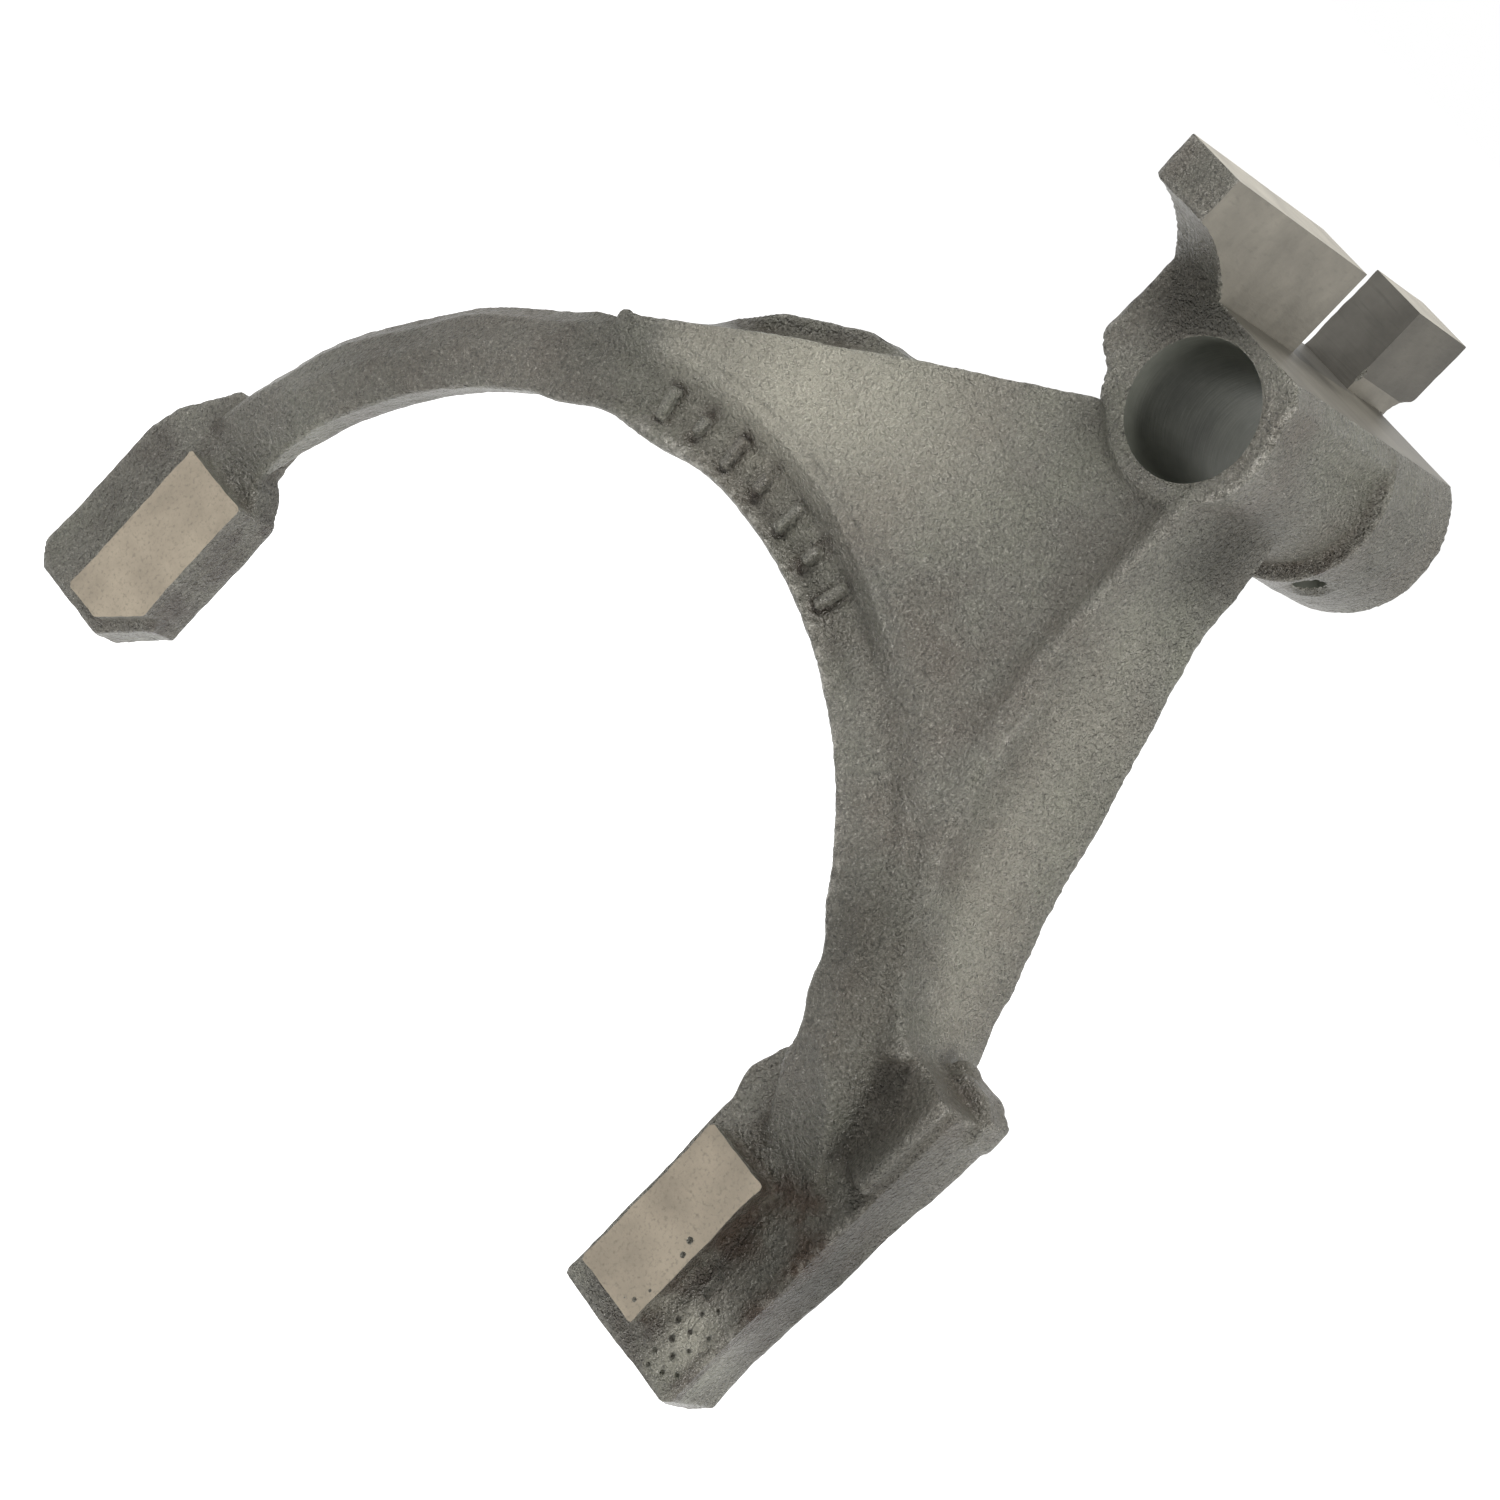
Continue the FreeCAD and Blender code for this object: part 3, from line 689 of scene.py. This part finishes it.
def curvature(mesh, rounds):
    """How far each point stands out of its neighbours (+) or lies in (-)."""
    places = points_of(mesh)
    return ((places - smooth_vectors(mesh, places, rounds)) * normals_of(mesh)).sum(axis=1)


def fall_off(offsets, reach):
    """1 where an offset is nothing, falling to 0 at the reach and beyond."""
    near = np.clip(1.0 - np.linalg.norm(offsets, axis=1) / (reach * MM), 0, 1)
    return near * near * (3.0 - 2.0 * near)


def closeness(places, middle, reach):
    """1 at a point given in millimetres, falling to 0 at its reach and beyond."""
    return fall_off(places - np.array(middle) * MM, reach)


def along(places, start, end, reach):
    """1 on a line between two points in millimetres, falling to 0 at its reach."""
    start = np.array(start) * MM
    run = np.array(end) * MM - start
    step = np.clip(((places - start) @ run) / (run @ run), 0, 1)
    return fall_off(places - start - np.outer(step, run), reach)


def near_spots(places, spots):
    return sum(closeness(places, middle, reach) * strength for middle, reach, strength in spots)


def near_lines(places, lines):
    return sum(along(places, start, end, reach) * strength for start, end, reach, strength in lines)


def rise(values, start, end):
    """0 up to a start, 1 from an end on."""
    return np.interp(values, (start, end), (0.0, 1.0))


def span(values, start, full, fade, end):
    """0 outside a start and an end, 1 between full and fade."""
    return np.interp(values, (start, full, fade, end), (0.0, 1.0, 1.0, 0.0))


def band_place(turn, far, front):
    """A place on the yoke band: degrees round its axis, distance from it, and front."""
    turn = math.radians(turn)
    return (YOKE[0] + math.cos(turn) * far, front, YOKE[1] + math.sin(turn) * far)


def settle_band(places):
    """Moves the front of the yoke band and of the web beside it to the cast
    relief: a rim, a shallow strip for the foundry marks, and the web's shoulder."""
    x, y, z = (places[:, k] / MM for k in range(3))
    far = np.hypot(x - YOKE[0], z - YOKE[1])
    turn = np.degrees(np.arctan2(z - YOKE[1], x - YOKE[0]))
    plain = np.interp(far, *PLAIN_RELIEF)
    marked = np.interp(far, *MARKED_RELIEF)
    target = plain + (marked - plain) * span(turn, 62.0, 68.0, 110.0, 117.0)
    part = span(turn, 34.0, 50.0, 114.0, 126.0) * span(far, 64.9, 65.6, 77.0, 97.0)
    part *= np.interp(y, (3.2, 4.2), (1.0, 0.0))
    places[:, 1] += part * (target - y) * MM


def over_web(places):
    """How far a point lies above the web's upper edge, in millimetres."""
    away = places / MM - np.array(WEB_EDGE)
    return away[:, 0] * WEB_UP[0] + away[:, 2] * WEB_UP[1]


def sink_rear_lug(places):
    """Sets the front of the rear lug back behind the web's upper edge."""
    x, y = places[:, 0] / MM, places[:, 1] / MM
    part = rise(over_web(places), 0.9, 1.8) * np.interp(y, (7.0, 9.0), (1.0, 0.0))
    part *= span(x, -76.0, -72.0, -32.0, -28.0)
    places[:, 1] += part * REAR_LUG_SINK * MM


def back_rim(places):
    """1 on the back rim of the flange, 0 away from it."""
    x, y, z = (places[:, k] / MM for k in range(3))
    return rise(y, 15.0, 17.0) * rise(x, 0.0, 4.0) * span(z, -80.0, -74.0, -20.0, -16.0)


def write_values(mesh, name, values):
    layer = mesh.attributes.new(name, "FLOAT", "POINT")
    layer.data.foreach_set("value", np.asarray(values, dtype=np.float32))


class FORK_OT_casting(bpy.types.Operator):
    """Builds the cast fork over its solid and machines its faces"""

    bl_idname = "shift_fork.casting"
    bl_label = "Cast Fork"

    def execute(self, context):
        finish = context.scene.fork_finish
        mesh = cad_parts["shift_fork"].data.copy()
        mesh.materials.clear()
        fork = link(bpy.data.objects.new("fork_casting", mesh))
        self.add_stock(fork)
        self.rebuild_skin(fork, finish.voxel)
        self.swell(fork.data)
        self.roughen(fork.data, finish)
        self.stamp(fork)
        self.machine(fork, finish)
        self.shade(fork)
        if len(fork.data.polygons) < LEAST_FACES:
            raise RuntimeError("the casting was lost in its cuts")
        self.report({"INFO"}, "fork has %d faces" % len(fork.data.polygons))
        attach(fork, "root")
        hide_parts("shift_fork")
        return {"FINISHED"}

    @staticmethod
    def add_stock(fork):
        """Adds metal where faces are cut later, so that the cuts come out sharp."""
        left, right = LUG_X
        lug = box_outline(left + 0.4, right + 0.5, -16.3, NOTCH[1] + 9)
        back_lug = box_outline(left + 0.4, right + 0.5, NOTCH[1], LUG_BACK - 0.4)
        notch = box_outline(NOTCH[0] - 1, NOTCH[1] + 1, LEDGE - 0.5, LUG_TOP + 0.5)
        back_jaw = box_outline(NOTCH[1], LUG_BACK - 0.3, *BACK_JAW)
        ledge = box_outline(right - 0.5, 7.6, 0.6, HUB_LENGTH - 0.4)
        bars = [
            rod("bore_filling", (0, 0.4, 0), (0, HUB_LENGTH - 0.4, 0), BORE_RADIUS + 0.6),
            prism("left_pad_stock", LEFT_PAD, PAD_FRONT - 1.2, PAD_FRONT + 2.0, "y"),
            prism("right_pad_stock", RIGHT_PAD, PAD_FRONT - 1.2, PAD_FRONT + 2.0, "y"),
            prism("notch_filling", notch, left + 0.5, right - 0.5, "x"),
            balls("upper_nub", [UPPER_NUB]),
            balls("block_corner", [BLOCK_CORNER]),
            prism("front_jaw_stock", JAW_SIDE, right - 0.3, right + 0.6, "x"),
            prism("back_jaw_stock", back_jaw, right - 0.3, right + 0.6, "x"),
            prism("front_top_stock", lug, 24.6, 25.9, "z"),
            prism("back_top_stock", back_lug, 24.6, 25.9, "z"),
            prism("ledge_stock", ledge, 10.6, 12.3, "z"),
        ]
        for bar in bars:
            join_or_cut(fork, bar, "UNION")

    @staticmethod
    def rebuild_skin(fork, voxel):
        """Rounds the solid's edges as sand does: once finely, then at the cell
        size that is kept, laid back on the fine skin."""
        fine = None
        for size, rounds in ((voxel * 0.4, 9), (voxel, 1)):
            shell = fork.modifiers.new("Skin", "REMESH")
            shell.mode = "VOXEL"
            shell.voxel_size = size
            shell.adaptivity = 0.0
            apply_modifiers(fork)
            soften = fork.modifiers.new("Soften", "SMOOTH")
            soften.factor = 0.5
            soften.iterations = rounds
            apply_modifiers(fork)
            if fine is None:
                fine = link(bpy.data.objects.new("fine_skin", fork.data.copy()))
        settle = fork.modifiers.new("Settle", "SHRINKWRAP")
        settle.target = fine
        settle.wrap_method = "NEAREST_SURFACEPOINT"
        apply_modifiers(fork)
        bpy.data.objects.remove(fine)

    def machine(self, fork, finish):
        """Cuts the machined faces, the bore and the pores out of the rough skin."""
        left, right = LUG_X
        front, back = NOTCH
        skin = cast_skin(finish)
        left_pad = machined_pad("left_pad", tuple(finish.pad))
        right_pad = machined_pad("right_pad", times(finish.pad, RIGHT_PAD_SHADE))
        jaw = machined_jaw("machined_jaw", tuple(finish.jaw))
        side = machined_jaw("machined_side", tuple(finish.side))
        # The back of the lug's side takes the side's colour darkened as painted shade, and the lug's top
        # takes it lightened as a painted highlight.
        shade_and_dirt = machined_jaw("machined_back_side_shaded", times(finish.side, BACK_SIDE_PAINTED_SHADE))
        top = machined_jaw("machined_top_lit", times(finish.side, TOP_PAINTED_LIGHT))
        bore = bored_wall(finish)
        fork.data.materials.clear()
        fork.data.materials.append(skin)
        left_box = box_outline(*LEFT_PAD_CUT)
        right_box = box_outline(*RIGHT_PAD_CUT)
        notch_box = box_outline(front, back, LEDGE, LUG_TOP + 5)
        ledge_box = box_outline(right, 12.0, -1.5, 57.5)
        front_box = box_outline(-19, front + 8, LEDGE, 28)
        back_box = box_outline(back - 8, 58.5, 14.0, 28)
        top_box = box_outline(left - 3, right + 3, -19, 59)
        cuts = [
            (rod("bore_cut", (0, -5, 0), (0, HUB_LENGTH + 8, 0), BORE_RADIUS), bore),
            (rod("pin_cut", self.pin(7.5), self.pin(18.0), PIN_RADIUS, 32), bore),
            (prism("left_pad_cut", left_box, PAD_FRONT - 4, PAD_FRONT, "y"), left_pad),
            (prism("right_pad_cut", right_box, PAD_FRONT - 4, PAD_FRONT, "y"), right_pad),
            (prism("notch_cut", notch_box, left - 3, right + 1.5, "x"), jaw),
            (prism("ledge_cut", ledge_box, LEDGE, LEDGE + 2.5, "z"), side),
            (prism("front_side_cut", front_box, right, right + 3, "x"), side),
            (prism("back_side_cut", back_box, right, right + 3, "x"), shade_and_dirt),
            (prism("top_cut", top_box, LUG_TOP, LUG_TOP + 4, "z"), top),
            (balls("pores", PORES), skin),
            (rod("shelf_slot", *SHELF_SLOT, SLOT_RADIUS, 16), skin),
        ]
        for tool, material in cuts:
            tool.data.materials.append(material)
            join_or_cut(fork, tool, "DIFFERENCE")

    @staticmethod
    def pin(radius):
        """A place on the pin hole's axis, at a distance from the bore's."""
        return (radius * math.cos(PIN_ANGLE), PIN_PLACE, -radius * math.sin(PIN_ANGLE))

    @staticmethod
    def stamp(fork):
        """Raises the plain foundry marks along the band."""
        for i in range(MARK_COUNT):
            turn = math.radians(MARK_FIRST + MARK_STEP * i)
            half = MARK_HALVES[i % 2]
            out = Vector((math.cos(turn), math.sin(turn)))
            across = Vector((-out.y, out.x)) * MARK_HALF_WIDTH
            middle = Vector(YOKE) + out * MARK_RING
            outline = [tuple(middle + out * a * half + across * b)
                       for a, b in ((-1, -1), (1, -1), (1, 1), (-1, 1))]
            bar = prism("foundry_mark", outline, MARK_TOP, 0.5, "y")
            edges = bar.modifiers.new("Round", "BEVEL")
            edges.width = MARK_EDGE * MM
            edges.segments = 3
            apply_modifiers(bar)
            join_or_cut(fork, bar, "UNION")

    @staticmethod
    def swell(mesh):
        """Gives the casting its small bulges and rounds its inner corners."""
        places = points_of(mesh)
        for middle, reach, shift in SWELLS:
            places += np.outer(closeness(places, middle, reach), np.array(shift) * MM)
        settle_band(places)
        sink_rear_lug(places)
        lift = smooth_vectors(mesh, (places - smooth_vectors(mesh, places, 8)) * CURVE_GAIN, 3)
        rim = back_rim(places)
        places += lift * (1.0 - rim)[:, None] + normals_of(mesh) * SKIN_GROWTH
        move_points(mesh, places)
        hollow = np.clip((-curvature(mesh, 14) - HOLLOW_START) / HOLLOW_RANGE, 0, 1)
        hollow = smooth_values(mesh, hollow, 5)
        hollow *= 1.0 - closeness(places, MARKS, 36.0)
        hollow = np.maximum(hollow, RIM_EASE * rim)
        for _ in range(HOLLOW_PASSES):
            places += (smooth_vectors(mesh, places, 1) - places) * hollow[:, None]
        move_points(mesh, places)

    @staticmethod
    def roughen(mesh, finish):
        """Moves the points of the skin out and in, and notes edges and corners, oil and painted shadow
        lines, and painted highlights and shade.
        """
        places = points_of(mesh)
        bend = curvature(mesh, 8)
        rubbed = (0.35 + 0.65 * closeness(places, HUB, 60.0)
                  + 0.5 * closeness(places, MARKS, 45.0)).clip(0, 1)
        edge = np.clip((smooth_values(mesh, bend, 1) - EDGE_START) / EDGE_RANGE, 0, 1)
        write_values(mesh, "edge", edge * rubbed)
        # Creases and hollows, for oil and painted shade.
        hollow = smooth_values(mesh, np.clip(-bend / CREASE_RANGE, 0, 1), 10)
        # Oil stains, painted shadow lines along the pads' steps, and oil and painted shade round each mark.
        oil = near_spots(places, OILY)
        oil += near_lines(places, OIL_AND_SHADOW_LINES)
        # Oil and painted shade round each foundry mark.
        for i in range(MARK_COUNT):
            turn = MARK_FIRST + MARK_STEP * i
            ends = [band_place(turn, far, MARK_OUTLINE_FRONT) for far in MARK_OUTLINE_ENDS]
            oil += MARK_OIL_AND_SHADE * along(places, ends[0], ends[1], MARK_OUTLINE_REACH)
        write_values(mesh, "corner", np.clip(hollow * 1.1, 0, 1))
        write_values(mesh, "oil", np.clip(oil, 0, 1))
        # Paler and darker patches: painted highlights, and painted shade with some darker dirt; also
        # painted shade on the rear lug's front behind the web's upper edge.
        light_and_dirt = near_spots(places, PAINTED_LIGHT_AND_DIRT)
        behind = rise(over_web(places), 0.8, 1.6)
        behind *= np.interp(places[:, 0] / MM, (-30, -26), (1, 0))
        light_and_dirt = light_and_dirt - REAR_LUG_SHADE * behind * rise(places[:, 1] / MM, 3.0, 6.0)
        # Painted highlight lines along the flange's ridge and the band's inner rim.
        ridge_and_rim_highlight = near_lines(places, RIDGE_HIGHLIGHTS)
        for turn in RIM_TURNS:
            ends = [band_place(angle, RIM_RADIUS, RIM_FRONT) for angle in (turn, turn + RIM_STEP)]
            ridge_and_rim_highlight = np.maximum(ridge_and_rim_highlight, RIM_HIGHLIGHT * along(places, ends[0], ends[1], RIM_REACH))
        write_values(mesh, "ridge_and_rim_highlight", np.clip(ridge_and_rim_highlight, 0, 1))
        write_values(mesh, "highlight_and_pale", np.clip(light_and_dirt, 0, 1))
        write_values(mesh, "shade_and_dirt", np.clip(-light_and_dirt, 0, 1))
        lumps = skin_noise(places, LUMP_SPACING, 3)
        sand = skin_noise(places, GRAIN_SPACING, 8)
        move_points(mesh, places + normals_of(mesh) * (lumps * finish.lumps + sand * finish.grain)[:, None])

    @staticmethod
    def shade(fork):
        """Shades the skin smooth and keeps the machined edges sharp."""
        mesh = fork.data
        smooth = np.ones(len(mesh.polygons), dtype=bool)
        mesh.polygons.foreach_set("use_smooth", smooth)
        made = bmesh.new()
        made.from_mesh(mesh)
        bmesh.ops.dissolve_degenerate(made, dist=1e-7, edges=made.edges)
        for edge in made.edges:
            if len(edge.link_faces) == 2:
                first, second = edge.link_faces
                if first.material_index != second.material_index:
                    edge.smooth = False
                elif first.material_index > 0 and edge.calc_face_angle(0.0) > SHARP_ANGLE:
                    edge.smooth = False
        made.to_mesh(mesh)
        made.free()


# The stage.


class FORK_OT_stage(bpy.types.Operator):
    """Lays the floor, hangs the lamps and sets up the camera"""

    bl_idname = "shift_fork.stage"
    bl_label = "Stage"

    def execute(self, context):
        stage = context.scene.stage_finish
        low, high = CAD_BOX
        middle = (Vector(low) + Vector(high)) * 0.5

        mesh = bpy.data.meshes.new("floor")
        made = bmesh.new()
        bmesh.ops.create_grid(made, x_segments=1, y_segments=1, size=FLOOR_SIZE)
        bmesh.ops.translate(made, vec=(0, 0, low[2] - FLOOR_DROP), verts=made.verts)
        made.to_mesh(mesh)
        made.free()
        floor = link(bpy.data.objects.new("floor", mesh))
        mesh.materials.append(self.floor_material(stage))

        self.lamp("key_lamp", KEY_PLACE, middle, stage.key, KEY_SIZE)
        self.lamp("side_lamp", SIDE_PLACE, middle, stage.side, SIDE_SIZE)
        self.sky(stage)
        self.camera(stage)
        context.scene.view_settings.view_transform = "Standard"
        return {"FINISHED"}

    @staticmethod
    def floor_material(stage):
        material, nodes, links, shader = new_material("floor_paper")
        paper = cloudy(nodes, links, grain(nodes, links, 3.0), stage.floor, 0.985, 1.0)
        links.new(paper, shader.inputs["Base Color"])
        shader.inputs["Roughness"].default_value = 0.9
        shader.inputs["Specular IOR Level"].default_value = 0.0
        glow = nodes.new("ShaderNodeEmission")
        glow.inputs["Color"].default_value = (1.0, 1.0, 1.0, 1.0)
        glow.inputs["Strength"].default_value = stage.paper
        both = nodes.new("ShaderNodeAddShader")
        links.new(shader.outputs["BSDF"], both.inputs[0])
        links.new(glow.outputs["Emission"], both.inputs[1])
        mix = nodes.new("ShaderNodeMixShader")
        links.new(seen_rays(nodes, links), mix.inputs["Fac"])
        links.new(shader.outputs["BSDF"], mix.inputs[1])
        links.new(both.outputs["Shader"], mix.inputs[2])
        output = next(node for node in nodes if node.type == "OUTPUT_MATERIAL")
        links.new(mix.outputs["Shader"], output.inputs["Surface"])
        return material

    @staticmethod
    def lamp(name, place, aim, power, size):
        data = bpy.data.lights.new(name, "AREA")
        data.shape = "DISK"
        data.size = size
        data.energy = power
        lamp = link(bpy.data.objects.new(name, data))
        lamp.location = place
        lamp.rotation_euler = (aim - Vector(place)).to_track_quat("-Z", "Y").to_euler()

    @staticmethod
    def sky(stage):
        world = bpy.data.worlds.new("studio")
        bpy.context.scene.world = world
        world.use_nodes = True
        nodes = world.node_tree.nodes
        links = world.node_tree.links
        nodes.clear()
        output = nodes.new("ShaderNodeOutputWorld")
        even = nodes.new("ShaderNodeBackground")
        even.inputs["Color"].default_value = (1.0, 1.0, 1.0, 1.0)
        even.inputs["Strength"].default_value = stage.world
        white = nodes.new("ShaderNodeBackground")
        white.inputs["Color"].default_value = (1.0, 1.0, 1.0, 1.0)
        white.inputs["Strength"].default_value = 1.0
        mix = nodes.new("ShaderNodeMixShader")
        links.new(seen_rays(nodes, links), mix.inputs["Fac"])
        links.new(even.outputs["Background"], mix.inputs[1])
        links.new(white.outputs["Background"], mix.inputs[2])
        links.new(mix.outputs["Shader"], output.inputs["Surface"])

    @staticmethod
    def camera(stage):
        data = bpy.data.cameras.new("camera")
        data.sensor_width = 36.0
        data.sensor_height = 36.0
        data.sensor_fit = "HORIZONTAL"
        data.lens = stage.lens
        data.clip_start = 0.05
        data.clip_end = 40.0
        camera = link(bpy.data.objects.new("camera", data))
        right, down, forward = (Vector(way) for way in (CAMERA_RIGHT, CAMERA_DOWN, CAMERA_FORWARD))
        place = Matrix((right, -down, -forward)).transposed().to_4x4()
        place.translation = Vector(CAMERA_PLACE)
        camera.matrix_world = place
        bpy.context.scene.camera = camera


class FORK_PT_sidebar(bpy.types.Panel):
    """Lists the fork's steps in the sidebar"""

    bl_idname = "FORK_PT_sidebar"
    bl_label = "Shift Fork"
    bl_space_type = "VIEW_3D"
    bl_region_type = "UI"
    bl_category = "Shift Fork"

    def draw(self, context):
        column = self.layout.column()
        for name in ("grain", "lumps", "voxel", "iron", "stain", "bright", "pad", "jaw", "side", "bore"):
            column.prop(context.scene.fork_finish, name)
        column.operator(FORK_OT_casting.bl_idname)
        for name in ("floor", "key", "side", "world", "paper", "lens"):
            column.prop(context.scene.stage_finish, name)
        column.operator(FORK_OT_stage.bl_idname)


CLASSES = (ForkFinish, StageFinish, FORK_OT_casting, FORK_OT_stage, FORK_PT_sidebar)


def register():
    for cls in CLASSES:
        bpy.utils.register_class(cls)
    bpy.types.Scene.fork_finish = bpy.props.PointerProperty(type=ForkFinish)
    bpy.types.Scene.stage_finish = bpy.props.PointerProperty(type=StageFinish)


def unregister():
    del bpy.types.Scene.stage_finish
    del bpy.types.Scene.fork_finish
    for cls in reversed(CLASSES):
        bpy.utils.unregister_class(cls)


def main():
    register()
    bpy.ops.shift_fork.stage()
    bpy.ops.shift_fork.casting()


if __name__ == "__main__":
    main()
